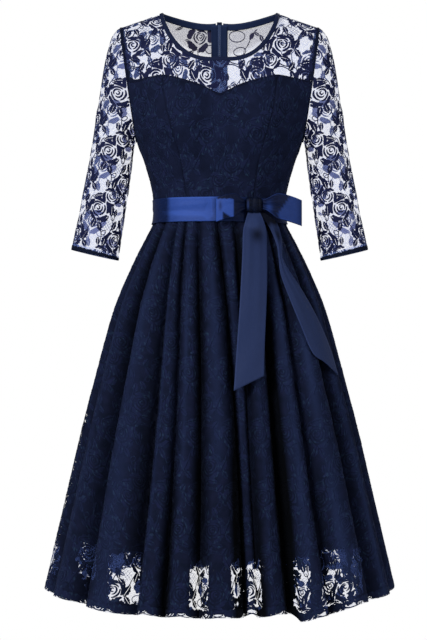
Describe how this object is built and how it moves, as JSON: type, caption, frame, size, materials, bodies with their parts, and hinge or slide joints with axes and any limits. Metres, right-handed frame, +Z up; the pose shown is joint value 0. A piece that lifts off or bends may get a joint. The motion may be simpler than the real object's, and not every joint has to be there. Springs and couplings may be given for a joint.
{
  "type": "cocktail dress",
  "caption": "Knee-length cocktail dress as worn: sheer lace yoke and three-quarter sleeves, fitted bodice, ribbon sash with a bow, and a full folded lace skirt over a lining.",
  "frame": {"origin": "midway between the two high points of the shoulders beside the neck, where the wearer carries the dress", "axes": "+Z up along the wearer's body, +X towards the wearer's left, -Y towards the front"},
  "size_m": [0.5995, 0.5103, 0.9913],
  "materials": {
    "lace": "floral cord lace on fine net, matt with a slight thread sheen",
    "bodice_cloth": "floral lace laid over dark satin-back lining, matt",
    "lining": "dark plain-weave polyester lining, slight sheen",
    "binding": "rolled satin binding",
    "ribbon": "satin ribbon, soft gloss",
    "zip_tape": "woven zip tape with a sewn coil edge",
    "zip_metal": "lacquered zip slider and pull"
  },
  "bodies": {
    "dress": {"yoke_front": "lace", "yoke_back_left": "lace", "yoke_back_right": "lace", "sleeve_left_front": "lace", "sleeve_left_back": "lace", "sleeve_right_front": "lace", "sleeve_right_back": "lace", "skirt_front": "lace", "skirt_back_left": "lace", "skirt_back_right": "lace", "bodice_front": "bodice_cloth", "bodice_side_left": "bodice_cloth", "bodice_side_right": "bodice_cloth", "bodice_back_left": "bodice_cloth", "bodice_back_right": "bodice_cloth", "lining_front": "lining", "lining_back_left": "lining", "lining_back_right": "lining", "neck_binding": "binding", "sash": "ribbon", "bow_knot": "ribbon", "bow_loop_left": "ribbon", "bow_loop_right": "ribbon", "sash_tail_long": "ribbon", "sash_tail_short": "ribbon", "zip_tape_left": "zip_tape", "zip_tape_right": "zip_tape", "zip_slider": "zip_metal"},
    "zip_pull": {"zip_pull": "zip_metal"}
  },
  "joints": [
    {"name": "zip_pull_hinge", "type": "hinge", "parent": "dress", "child": "zip_pull", "pos_m": [0, 0.05822, -0.00533], "axis": [1, 0, 0], "range_deg": [0, 150]}
  ]
}
